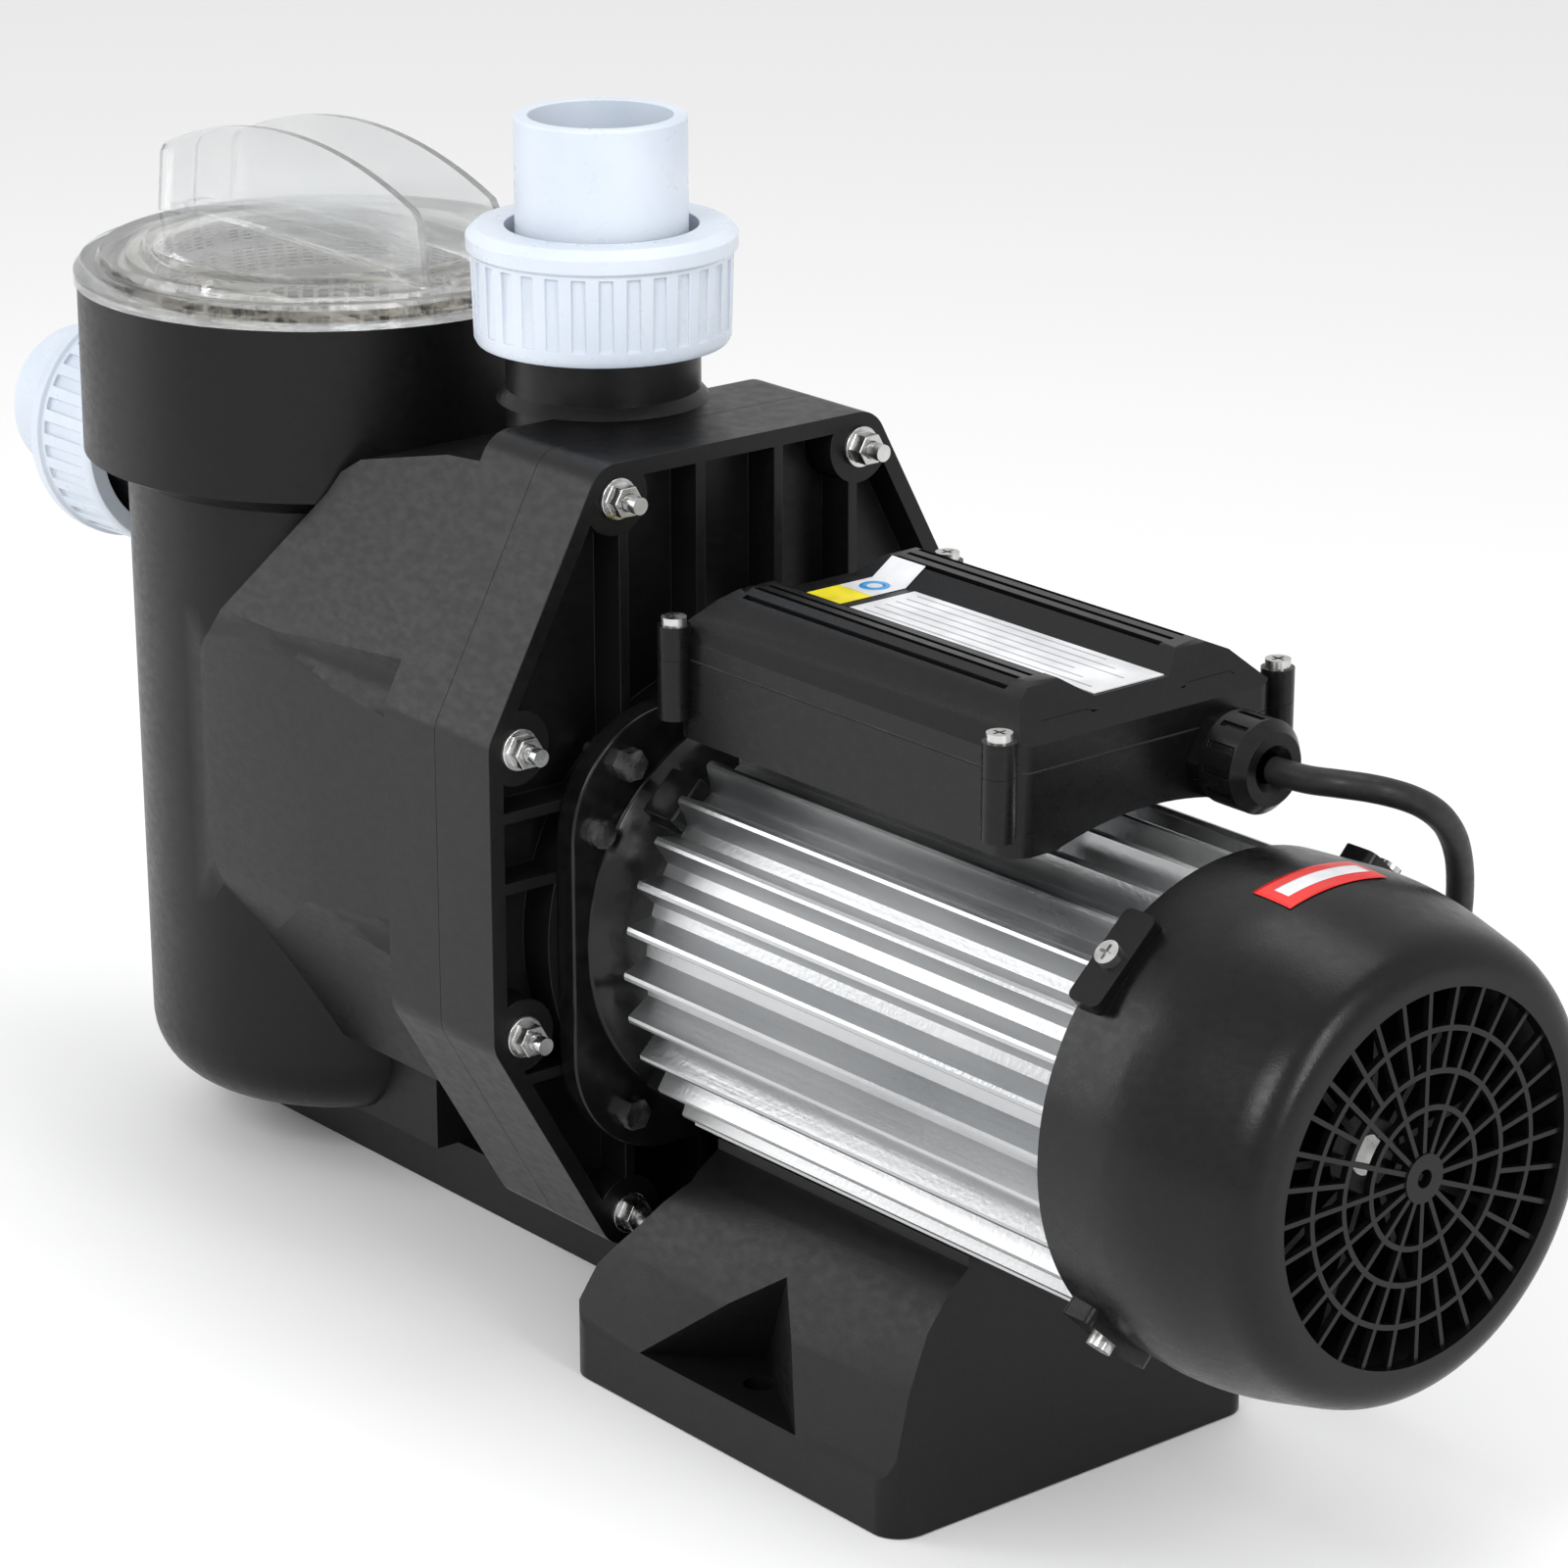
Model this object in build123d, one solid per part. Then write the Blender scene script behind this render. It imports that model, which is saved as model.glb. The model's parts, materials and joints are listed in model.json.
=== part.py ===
from build123d import *
import math
import os

# Pool pump: strainer pot, volute, fan-cooled motor and pipe unions.
# Millimetres. +X runs along the motor shaft to the fan end, +Z is up, the floor is z = 0.
# The origin is on the floor at the centre of the foot's bolt holes.

AXIS_Z = 155.0              # height of the motor shaft

# strainer pot
POT_X = -328.5
POT_R = 77.0
POT_FOOT_R = 75.4
COLLAR_R = 92.8
COLLAR_Z = 270.0
RIM_Z = 333.0
POT_BOTTOM_Z = 22.0
POT_WALL = 5.0
BORE_R = 82.5               # mouth that takes the lid's skirt
LEDGE_Z = 318.0

# volute and flanges
OUTLET_X = -162.5
VOLUTE_BACK_X = -147.0
PARTING_X = -118.0
PLATE_FACE_X = -87.5
CHAMBER_R = 61.0
SUCTION_END_X = -176.2
BOLT_YZ = [(52.9, 307.2), (95.3, 228.6), (95.3, 126.5), (51.1, 50.0)]
BOLT_PAD_R = 12.0
BOLT_R = 3.0

# pipe unions, measured along the pipe from the nut's pump-side face
NUT_LEN = 40.9
NUT_R0 = 44.7
NUT_R1 = 47.1
NECK_R = 34.0
THREAD_R = 37.0
TAIL_R = 30.0
SOCKET_R = 25.0
TAIL_LEN = 78.7
OUTLET_NUT_Z = 339.3
INLET_NUT_X = -429.9
INLET_Z = 250.5
NUT_RIBS = 30

# motor
SHIELD_X = -77.0
HOUSING_X0 = -52.5
HOUSING_X1 = 163.0
FIN_R = 79.0
ROOT_R = 69.5
STATOR_R = 60.0
FIN_PITCH = 11.6
ADAPTER_BOLTS = [(-57, 63), (57, 63), (-57, -63), (57, -63)]
SHAFT_R = 8.0

# fan cover
COVER_X0 = 155.2
COVER_X1 = 239.0
COVER_R = 84.0
COVER_WALL = 2.5
GRILLE_R = 60.6
GRILLE_X = 237.5
TAB_ANGLES = [47, 133, 227, 313]

# terminal box
BOX_X0 = -53.5
BOX_X1 = 114.5
BOX_HALF_Y = 57.0
BOX_Z0 = 235.0
ARCH_R = 130.0
ARCH_TOP_Z = 241.0
PAD_X1 = 92.0
PAD_HALF_Y = 22.0
BOX_SPLIT_Z = 262.0
BOX_TOP_Z = 285.0
BOSS_X = (-48.8, 110.5)
BOSS_Y = 59.6
BOSS_TOP_Z = 274.0
GLAND_Y = 31.0
GLAND_Z = 252.5
GLAND_R = 15.5
GLAND_FACE_X = 138.5

# foot and beam
FOOT_X0 = -85.0
FOOT_X1 = 89.0
FOOT_HALF_Y = 80.5
FOOT_EDGE_Z = 20.0
BEAM_X0 = -398.0
BEAM_HALF_Y = 20.0
BEAM_Z = 22.0
HOLE_Y = 64.0
HOLE_R = 5.5

# cord
CORD_R = 4.5
COIL_Y = 185.0
COIL_R = 49.5
COIL_LAYERS = 2
COIL_ROWS = 3

os.makedirs("parts", exist_ok=True)


def save(node, shape):
    """Write one node."""
    export_step(shape, f"parts/{node}.step")


def cyl_x(x0, x1, r, y=0.0, z=AXIS_Z):
    """Cylinder along X."""
    return Pos((x0 + x1) / 2, y, z) * Rot(0, 90, 0) * Cylinder(r, x1 - x0)


def cyl_z(x, y, z0, z1, r):
    """Cylinder along Z."""
    return Pos(x, y, (z0 + z1) / 2) * Cylinder(r, z1 - z0)


def cyl_y(x, z, y0, y1, r):
    """Cylinder along Y."""
    return Pos(x, (y0 + y1) / 2, z) * Rot(90, 0, 0) * Cylinder(r, y1 - y0)


def ring_x(x0, x1, r_out, r_in, y=0.0, z=AXIS_Z):
    """Ring along X."""
    return cyl_x(x0, x1, r_out, y, z) - cyl_x(x0 - 1, x1 + 1, r_in, y, z)


def block(x0, x1, y0, y1, z0, z1):
    """Box from its limits."""
    return Pos((x0 + x1) / 2, (y0 + y1) / 2, (z0 + z1) / 2) * Box(x1 - x0, y1 - y0, z1 - z0)


def hex_x(x0, x1, across_flats, y, z):
    """Hexagonal prism along X."""
    face = Plane.YZ.offset(x0) * Pos(y, z) * RegularPolygon(across_flats / 2, 6, major_radius=False)
    return extrude(face, x1 - x0)


def group(parts):
    """Separate solids as one node."""
    solids = []
    for part in parts:
        solids.extend(part.solids())
    return Compound(children=solids)


def prism_x(points, x0, x1):
    """Closed outline in (y, z) drawn out along X."""
    face = Plane.YZ.offset(x0) * make_face(Polyline(*points, close=True))
    return extrude(face, x1 - x0)


def spin_x(points, y=0.0, z=AXIS_Z):
    """Closed outline of (x, radius) points turned about the shaft axis."""
    face = make_face(Plane.XZ * Polyline(*points, close=True))
    return Pos(0, y, z) * revolve(face, Axis.X, 360)


def spin_z(points, x=0.0, y=0.0):
    """Closed outline of (radius, z) points turned about a vertical axis."""
    face = make_face(Plane.XZ * Polyline(*points, close=True))
    return Pos(x, y, 0) * revolve(face, Axis.Z, 360)


def all_bolts():
    """The eight flange bolt centres as (y, z)."""
    return [(s * y, z) for y, z in BOLT_YZ for s in (-1, 1)]


def flange_outline(radius):
    """Rounded octagon around the bolt pads."""
    rims = [(Pos(y, z) * Circle(radius)).edge() for y, z in all_bolts()]
    return make_hull(rims)


def flange_slab(x0, x1, radius):
    """Octagonal slab along X."""
    return extrude(Plane.YZ.offset(x0) * flange_outline(radius), x1 - x0)


# ---------------------------------------------------------------- wet end

def union_neck():
    """Neck with its threaded end, along +Z from the nut's lower face."""
    neck = Pos(0, 0, -19) * Cylinder(NECK_R, 42)
    thread = Pos(0, 0, 10.5) * Cylinder(THREAD_R - 1.0, 17)
    for turn in range(5):
        thread += Pos(0, 0, 4.0 + 3.3 * turn) * Cone(THREAD_R, THREAD_R - 1.0, 1.6)
    return neck + thread


def place_outlet(shape):
    """Stand a union piece on the outlet."""
    return Pos(OUTLET_X, 0, OUTLET_NUT_Z) * shape


def place_inlet(shape):
    """Turn a union piece to the inlet, facing -X."""
    return Pos(INLET_NUT_X, 0, INLET_Z) * Rot(0, -90, 0) * shape


def outline_y(points, half):
    """Closed outline in (x, z) drawn out along Y to both sides."""
    face = Plane.XZ * make_face(Polyline(*points, close=True))
    return extrude(face, half, both=True)


def volute_casing():
    """Faceted outside of the volute, with scoops in front of the side bolt heads."""
    shape = prism_x([(-45, 302), (45, 302), (78, 227), (78, 128), (45, 60),
                     (-45, 60), (-78, 128), (-78, 227)], POT_X, VOLUTE_BACK_X + 1)
    shape &= outline_y([(VOLUTE_BACK_X + 2, 303), (-192, 299.5), (-216, 294), (-238, 289), (-247, 283), (-251, 275),
                        (-299, 216), (-329, 190), (-329, 50), (-145, 50)], 100)
    for side in (-1, 1):
        face = make_face(Polyline((-299, side * 78.5), (-335, side * 66), (-335, side * 90), (-299, side * 90),
                                  close=True))
        shape -= extrude(Pos(0, 0, 40) * face, 270)
        for z, tip_x in ((223, -264), (124, -250)):
            scoop = Cone(10, 19, VOLUTE_BACK_X - tip_x)
            shape -= Pos((VOLUTE_BACK_X + tip_x) / 2, side * 88, z) * Rot(0, 90, 0) * scoop
    return shape


def volute_cavity():
    """Water space of the volute around the suction pipe."""
    space = prism_x([(-36, 291), (36, 291), (63, 224), (63, 134), (36, 72), (-36, 72), (-63, 134),
                     (-63, 224)],
                    -300, VOLUTE_BACK_X)
    space &= outline_y([(-146, 293), (-192, 291), (-238, 281), (-251, 264), (-300, 205), (-300, 50),
                        (-146, 50)], 100)
    space -= spin_z([(0, 0), (POT_FOOT_R, 0), (POT_R, 262), (COLLAR_R, COLLAR_Z), (COLLAR_R, 340),
                     (0, 340)], POT_X)
    return space - cyl_x(-330, SUCTION_END_X, 29)


def pump_body():
    """Strainer pot, volute, necks and bolted flange in one moulding."""
    pot = spin_z([(0, POT_BOTTOM_Z), (POT_FOOT_R, POT_BOTTOM_Z), (POT_R, 262),
                  (COLLAR_R, COLLAR_Z), (COLLAR_R, RIM_Z), (0, RIM_Z)], POT_X)
    low_edge = pot.edges().filter_by(GeomType.CIRCLE).sort_by(Axis.Z)[0]
    pot = fillet(low_edge, 26)
    flange = flange_slab(VOLUTE_BACK_X, PARTING_X, BOLT_PAD_R)
    shape = pot + volute_casing() + flange
    shape += place_outlet(union_neck()) + place_inlet(union_neck())
    shape += Pos(OUTLET_X, 0, 321) * Cone(37.5, NECK_R, 4)
    shape += block(POT_X, -230, -30, 30, POT_BOTTOM_Z, 70)
    shape -= spin_z([(0, 34), (60, 34), (POT_FOOT_R - POT_WALL, 48), (POT_R - POT_WALL, LEDGE_Z),
                     (BORE_R, LEDGE_Z), (BORE_R, RIM_Z + 1), (0, RIM_Z + 1)], POT_X)
    shape -= cyl_x(VOLUTE_BACK_X - 1, PARTING_X + 1, CHAMBER_R)
    shape -= volute_cavity()
    shape -= cyl_x(POT_X, SUCTION_END_X + 1, 24)
    shape -= ring_x(PARTING_X - 2.6, PARTING_X + 1, 65.2, 61.9)
    shape -= cyl_z(OUTLET_X, 0, AXIS_Z, OUTLET_NUT_Z + 30, SOCKET_R)
    shape -= cyl_x(INLET_NUT_X - 30, POT_X, SOCKET_R, 0, INLET_Z)
    for y, z in all_bolts():
        shape -= cyl_x(VOLUTE_BACK_X - 5, PARTING_X + 1, BOLT_R + 0.3, y, z)
    shape -= cyl_y(POT_X, 44, 60, 90, 8.3)
    return shape


def seal_plate():
    """Rear half of the volute, with pockets and ribs on its motor side."""
    plate = flange_slab(PARTING_X, PLATE_FACE_X, BOLT_PAD_R)
    pocket = flange_slab(PLATE_FACE_X - 14, PLATE_FACE_X + 1, BOLT_PAD_R - 6)
    for y, z in all_bolts():
        pocket -= cyl_x(PARTING_X, PLATE_FACE_X + 2, BOLT_PAD_R + 1, y, z)
    pocket -= cyl_x(PARTING_X, PLATE_FACE_X + 2, 84)
    for y in (-50, -17, 17, 50):
        pocket -= block(PARTING_X, PLATE_FACE_X + 2, y - 2, y + 2, 30, 330)
    for z in (110, 180, 205):
        pocket -= block(PARTING_X, PLATE_FACE_X + 2, -120, 120, z - 2, z + 2)
    plate -= pocket
    plate -= cyl_x(PARTING_X - 1, PLATE_FACE_X + 1, 17.5)
    plate -= cyl_x(PARTING_X - 1, PARTING_X + 8, 54)
    plate -= cyl_x(PLATE_FACE_X - 4, PLATE_FACE_X + 1, 40)
    for y, z in all_bolts():
        plate -= cyl_x(PARTING_X - 1, PLATE_FACE_X + 1, BOLT_R + 0.3, y, z)
    for y, z in ADAPTER_BOLTS:
        plate -= cyl_x(PLATE_FACE_X - 12, PLATE_FACE_X + 1, BOLT_R + 0.2, y, AXIS_Z + z)
    return plate


def base_foot():
    """Beam under the pot and volute, and the wide foot under the motor."""
    beam = block(BEAM_X0, FOOT_X0 + 30, -BEAM_HALF_Y, BEAM_HALF_Y, 0, BEAM_Z - 0.3)
    beam = fillet(beam.edges().filter_by(Axis.Z).sort_by(Axis.X)[:2], 16)
    side = [(FOOT_HALF_Y, 0), (FOOT_HALF_Y, FOOT_EDGE_Z - 1), (FOOT_HALF_Y - 1.5, FOOT_EDGE_Z + 3), (70, 48),
            (60.5, 66), (50, 77), (41, 83), (41, 100)]
    outline = side + [(-y, z) for y, z in reversed(side)]
    foot = prism_x(outline, FOOT_X0, FOOT_X1)
    corners = RectangleRounded(FOOT_X1 - FOOT_X0, 2 * FOOT_HALF_Y, 11)
    foot &= extrude(Pos((FOOT_X0 + FOOT_X1) / 2, 0) * corners, 120)
    front = [(FOOT_X0 - 5, 0), (FOOT_X0, 0), (FOOT_X0 + 3, FOOT_EDGE_Z + 4), (FOOT_X0 + 8, 40),
             (FOOT_X0 + 22, 57), (FOOT_X0 + 33, 72), (-50, 74), (-50, 100), (FOOT_X0 - 5, 100)]
    foot -= outline_y(front, 100)
    foot -= outline_y([(FOOT_X1, 0), (FOOT_X1 - 12, 100), (FOOT_X1 + 5, 100), (FOOT_X1 + 5, 0)], 100)
    for y, z in all_bolts()[-2:]:
        foot -= cyl_x(PLATE_FACE_X, PLATE_FACE_X + 15, 9, y, z)
    foot -= cyl_x(FOOT_X0 - 5, FOOT_X1 + 5, FIN_R + 0.5)
    for x in (-71, -21, 29):
        foot -= block(x, x + 44, -36, 36, -1, 58)
    shape = beam + foot
    for side in (-1, 1):
        shape -= loft_pocket(side)
        shape -= cyl_z(0, side * HOLE_Y, -1, 40, HOLE_R)
    return shape


def loft_pocket(side):
    """Three-sided hollow above one bolt hole, narrowing upwards."""
    low = make_face(Polyline((-52, side * 87), (50, side * 87), (-13, side * 50), close=True))
    high = make_face(Polyline((24, side * 69), (25, side * 69), (24.4, side * 68), close=True))
    return loft([Pos(0, 0, FOOT_EDGE_Z) * low, Pos(0, 0, 83) * high])


def flange_bolts():
    """Eight long bolts through both flanges, heads on the volute side."""
    bolts = []
    for y, z in all_bolts():
        head = hex_x(VOLUTE_BACK_X - 5.0, VOLUTE_BACK_X, 10, y, z)
        bolts.append(head + cyl_x(VOLUTE_BACK_X - 1, PLATE_FACE_X + 13, BOLT_R, y, z))
    return group(bolts)


def flange_nuts():
    """Washers and nuts on the motor side."""
    nuts = []
    for y, z in all_bolts():
        nut = hex_x(PLATE_FACE_X + 1.6, PLATE_FACE_X + 7.0, 10, y, z)
        nut += cyl_x(PLATE_FACE_X, PLATE_FACE_X + 1.7, 7.2, y, z)
        nut -= cyl_x(PLATE_FACE_X - 1, PLATE_FACE_X + 8, BOLT_R + 0.05, y, z)
        nuts.append(nut)
    return group(nuts)


def union_nut():
    """Ribbed union nut, along +Z."""
    nut = spin_z([(THREAD_R + 0.6, 0), (NUT_R0 - 1, 0), (NUT_R0, 2), (NUT_R1 - 1.5, NUT_LEN - 9),
                  (NUT_R1, NUT_LEN - 8), (NUT_R1, NUT_LEN - 3), (NUT_R1 - 3, NUT_LEN),
                  (TAIL_R + 3.6, NUT_LEN), (TAIL_R + 3.6, NUT_LEN - 7), (THREAD_R + 0.6, NUT_LEN - 11)])
    groove = Pos(0, 0, 18) * Box(4.2, 4.8, 25)
    for i in range(NUT_RIBS):
        nut -= Rot(0, 0, 360 * i / NUT_RIBS) * Pos(NUT_R0 + 1.4, 0, 0) * groove
    return nut


def union_tail():
    """Solvent-weld socket with its collar, along +Z."""
    return spin_z([(SOCKET_R - 3, 22.6), (THREAD_R - 1, 22.6), (THREAD_R - 1, 29), (TAIL_R, 32),
                   (TAIL_R, TAIL_LEN - 0.8), (TAIL_R - 0.8, TAIL_LEN), (SOCKET_R, TAIL_LEN),
                   (SOCKET_R, TAIL_LEN - 38), (SOCKET_R - 3, TAIL_LEN - 38)])


def union_ring():
    """O-ring between neck and tail, along +Z."""
    return Pos(0, 0, 20.8) * Torus(30.5, 1.5)


def clear_lid():
    """Clear screw-down lid with stepped rings and two arched grips."""
    lid = spin_z([(0, 341), (60, 341), (64, 336), (74, 336), (74, 322), (80.5, 322), (80.5, 333.4),
                  (93.9, 333.4), (93.9, 338), (91, 342), (86, 342), (84, 345), (70, 346),
                  (67, 348), (0, 349)], POT_X)
    lid -= Pos(POT_X, 0, 326) * (Cylinder(85, 2.8) - Cylinder(79.8, 4))
    for y in (-17, 17):
        arch = Plane.XZ.offset(-y) * make_face(
            Polyline((POT_X - 80, 372), (POT_X - 83, 368), (POT_X - 86, 345), (POT_X + 86, 345), (POT_X + 83, 368),
                     (POT_X + 80, 372))
            + ThreePointArc((POT_X - 80, 372), (POT_X, 388), (POT_X + 80, 372)))
        lid += extrude(arch, 1.5, both=True)
    for x in (-1, 1):
        lid += Pos(POT_X + x * 84.6, 0, 344) * block(-2.5, 2.5, -5, 5, -2, 3)
    return lid


def lid_seal():
    """O-ring around the lid's skirt."""
    return Pos(POT_X, 0, 326) * Torus(81.2, 1.0)


def strainer_basket():
    """Perforated wall of the basket with its rim."""
    shell = spin_z([(60.2, 177.7), (69, 318.3), (76, 318.3), (76, 320), (66.8, 320), (58.0, 177.7)], POT_X)
    holes = []
    for level in range(6):
        for i in range(18):
            angle = 20 * i
            slot = Pos(POT_X, 0, 190 + 20 * level) * Rot(0, 0, angle) * Pos(62, 0, 0) * Box(24, 6, 12)
            holes.append(slot)
    for hole in holes:
        shell -= hole
    return shell


def impeller():
    """Closed impeller with seven vanes."""
    wheel = cyl_x(-132, -128, 50)
    wheel += ring_x(-150, -147, 50, 19)
    wheel += ring_x(-164, -147, 22.5, 19)
    for i in range(7):
        vane = Pos(0, 36, 0) * Rot(28, 0, 0) * Box(16, 30, 2.6)
        wheel += Pos(-139.7, 0, AXIS_Z) * Rot(360 / 7 * i, 0, 0) * vane
    wheel += cyl_x(-150, -124, 12)
    wheel -= cyl_x(-160, -100, SHAFT_R - 1.0)
    return wheel


def diffuser():
    """Diffuser shroud around the impeller's front."""
    shell = spin_x([(-176, 24.2), (-176, 58), (-156, 60.4), (-118.4, 60.4), (-118.4, 57.5), (-153, 57.5),
                    (-156, 55), (-156, 23.0), (-170, 23.0), (-170, 24.2)])
    shell -= cyl_z(OUTLET_X + 20, 0, AXIS_Z + 40, AXIS_Z + 70, 12)
    for i in range(6):
        shell -= Pos(-128, 0, AXIS_Z) * Rot(60 * i + 30, 0, 0) * Pos(0, 0, 59) * Box(12, 16, 10)
    return shell


# ---------------------------------------------------------------- motor

def rounded_square(half, corner):
    """Rounded square in the YZ plane."""
    return RectangleRounded(2 * half, 2 * half, corner)


def front_shield():
    """Adapter flange with the front bearing bell."""
    flange = extrude(Plane.YZ.offset(PLATE_FACE_X) * Pos(0, AXIS_Z) * rounded_square(80, 42), 9)
    bell = spin_x([(PLATE_FACE_X + 8, 0), (PLATE_FACE_X + 8, 74), (SHIELD_X + 6, 70), (HOUSING_X0, 67),
                   (HOUSING_X0, 0)])
    bell += cyl_x(HOUSING_X0 - 0.1, HOUSING_X0 + 8, STATOR_R - 0.1)
    shape = flange + bell
    for angle in TAB_ANGLES:
        ear = block(HOUSING_X0 - 16, HOUSING_X0, -9, 9, 60, 76)
        shape += Pos(0, 0, AXIS_Z) * Rot(angle - 90, 0, 0) * ear
    shape -= spin_x([(SHIELD_X + 4, 0), (SHIELD_X + 4, 50), (HOUSING_X0 + 9, 55), (HOUSING_X0 + 9, 0)])
    shape += ring_x(SHIELD_X + 2, SHIELD_X + 17, 25, 20)
    shape -= cyl_x(PLATE_FACE_X - 1, SHIELD_X + 12, 11)
    shape -= cyl_x(SHIELD_X + 5, SHIELD_X + 18, 20.0)
    for y, z in ADAPTER_BOLTS:
        shape -= cyl_x(PLATE_FACE_X - 1, PLATE_FACE_X + 10, BOLT_R + 0.3, y, AXIS_Z + z)
        shape -= cyl_x(PLATE_FACE_X + 9, HOUSING_X0 - 17, 8, y, AXIS_Z + z)
    return shape


def motor_housing():
    """Finned aluminium extrusion, with a pad on top for the terminal box."""
    points = []
    count = round(360 / FIN_PITCH)
    for i in range(count):
        for share, radius in ((0.0, FIN_R), (0.08, FIN_R - 0.3), (0.35, ROOT_R), (0.65, ROOT_R),
                              (0.92, FIN_R - 0.3)):
            angle = math.radians((i + share) * 360 / count + 6.3)
            points.append((radius * math.cos(angle), AXIS_Z + radius * math.sin(angle)))
    shape = prism_x(points, HOUSING_X0, HOUSING_X1)
    shape += block(HOUSING_X0 + 6, PAD_X1, -PAD_HALF_Y, PAD_HALF_Y, AXIS_Z + 60, ARCH_TOP_Z - 2)
    for side in (-1, 1):
        shape += block(HOUSING_X0, HOUSING_X1 - 8, side * 44.5 - 4.5, side * 44.5 + 4.5, 93, 100)
    shape -= cyl_x(HOUSING_X0 - 1, HOUSING_X1 + 1, STATOR_R)
    shape -= cyl_z(30, 0, AXIS_Z, ARCH_TOP_Z + 10, 12)
    return shape


def stator_windings():
    """Copper end turns at both ends of the core."""
    return group([ring_x(x, x + 22, 52, 34) for x in (-34.4, 104.4)])


def rear_shield():
    """Rear bearing shield at the fan end."""
    shape = spin_x([(HOUSING_X1, 0), (HOUSING_X1, 72), (HOUSING_X1 + 6, 70), (HOUSING_X1 + 12, 30),
                    (HOUSING_X1 + 12, 0)])
    shape += cyl_x(HOUSING_X1 - 8, HOUSING_X1 + 0.1, STATOR_R - 0.1)
    shape -= spin_x([(HOUSING_X1 - 9, 0), (HOUSING_X1 - 9, 54), (HOUSING_X1 + 2, 50),
                     (HOUSING_X1 + 4, 28), (HOUSING_X1 + 4, 0)])
    shape += ring_x(HOUSING_X1 - 7, HOUSING_X1 + 5, 25, 20)
    shape -= cyl_x(HOUSING_X1 - 10, HOUSING_X1 + 7, 20)
    shape -= cyl_x(HOUSING_X1, HOUSING_X1 + 14, SHAFT_R + 1)
    for angle in TAB_ANGLES:
        rod_y = 75 * math.cos(math.radians(angle))
        rod_z = AXIS_Z + 75 * math.sin(math.radians(angle))
        shape += cyl_x(HOUSING_X1 + 0.1, HOUSING_X1 + 6, 6, rod_y * 0.93, AXIS_Z + (rod_z - AXIS_Z) * 0.93)
    return shape


def bearing(x0, x1):
    """Ball bearing shown as a closed ring."""
    return ring_x(x0, x1, 20.0, SHAFT_R + 0.05)


def fan_cover():
    """Moulded cover with its rounded shoulder and radial air grille."""
    start, end, hub = 184.0, COVER_X1, 63.5
    outer = (Line((COVER_X0, 82.2), (start, COVER_R))
             + Spline((start, COVER_R), (start + 0.7 * (end - start), 78.2), (end, hub),
                      tangents=((1, 0), (0, -1))))
    close_in = Polyline((end, hub), (end, GRILLE_R), (end - 5, GRILLE_R), (end - 5, hub))
    inner = (Spline((end - 5, hub), (start + 0.66 * (end - start), 75.7), (start, COVER_R - COVER_WALL),
                    tangents=((0, 1), (-1, 0)))
             + Polyline((start, COVER_R - COVER_WALL), (COVER_X0, 82.2 - COVER_WALL), (COVER_X0, 82.2)))
    face = Plane.XZ * make_face(outer + close_in + inner)
    shape = Pos(0, 0, AXIS_Z) * revolve(face, Axis.X, 360)
    bars = []
    for radius in (GRILLE_R * 0.37, GRILLE_R * 0.56, GRILLE_R * 0.78):
        bars.append(ring_x(GRILLE_X - 2.5, GRILLE_X, radius + 0.9, radius - 0.9))
    bars.append(ring_x(GRILLE_X - 3, GRILLE_X + 0.5, 8, 3))
    for i in range(32):
        start = GRILLE_R * 0.56 if i % 2 else 7
        spoke = block(GRILLE_X - 2.5, GRILLE_X, -0.8, 0.8, start, GRILLE_R + 1.2)
        bars.append(Pos(0, 0, AXIS_Z) * Rot(360 / 32 * i, 0, 0) * spoke)
    shape = shape + bars
    for angle in TAB_ANGLES:
        tab = block(COVER_X0 - 0.5, COVER_X0 + 13, -17, 17, 79.5, 86.5)
        tab = fillet(tab.edges().filter_by(Axis.Z), 3)
        hole = cyl_z(COVER_X0 + 6, 0, 70, 95, 2.3)
        shape += Pos(0, 0, AXIS_Z) * Rot(angle - 90, 0, 0) * (tab - hole)
        shape -= Pos(0, 0, AXIS_Z) * Rot(angle - 90, 0, 0) * hole
    return shape


def fan_cover_screws():
    """Four pan-head screws."""
    screws = []
    for angle in TAB_ANGLES:
        screw = cyl_z(COVER_X0 + 6, 0, 86.5, 89.5, 4.2) + cyl_z(COVER_X0 + 6, 0, 80, 87, 2.0)
        screw -= Pos(COVER_X0 + 6, 0, 89) * (Box(5.4, 1.1, 2) + Box(1.1, 5.4, 2))
        screws.append(Pos(0, 0, AXIS_Z) * Rot(angle - 90, 0, 0) * screw)
    return group(screws)


def cooling_fan():
    """Radial cooling fan on the shaft's rear end."""
    fan = cyl_x(192, 195, 52) + cyl_x(184, 212, 14)
    for i in range(9):
        blade = block(194.5, 216, -1.2, 1.2, 12, 66)
        fan += Pos(0, 0, AXIS_Z) * Rot(40 * i, 0, 0) * blade
    return fan - cyl_x(180, 214, SHAFT_R - 1.5)


def shaft():
    """Stepped motor shaft."""
    shape = cyl_x(-123.9, -70, SHAFT_R) + cyl_x(-71, 176, SHAFT_R) + cyl_x(175, 214, SHAFT_R - 1.5)
    return shape + cyl_x(-149, -123.9, SHAFT_R - 1.0)


# ---------------------------------------------------------------- terminal box

def box_profile(z0, inset):
    """Rounded rectangle of the terminal box in plan."""
    centre_x = (BOX_X0 + BOX_X1) / 2
    length = BOX_X1 - BOX_X0 - 2 * inset
    return Pos(centre_x, 0, z0) * RectangleRounded(length, 2 * (BOX_HALF_Y - inset), 9 - inset)


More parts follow.
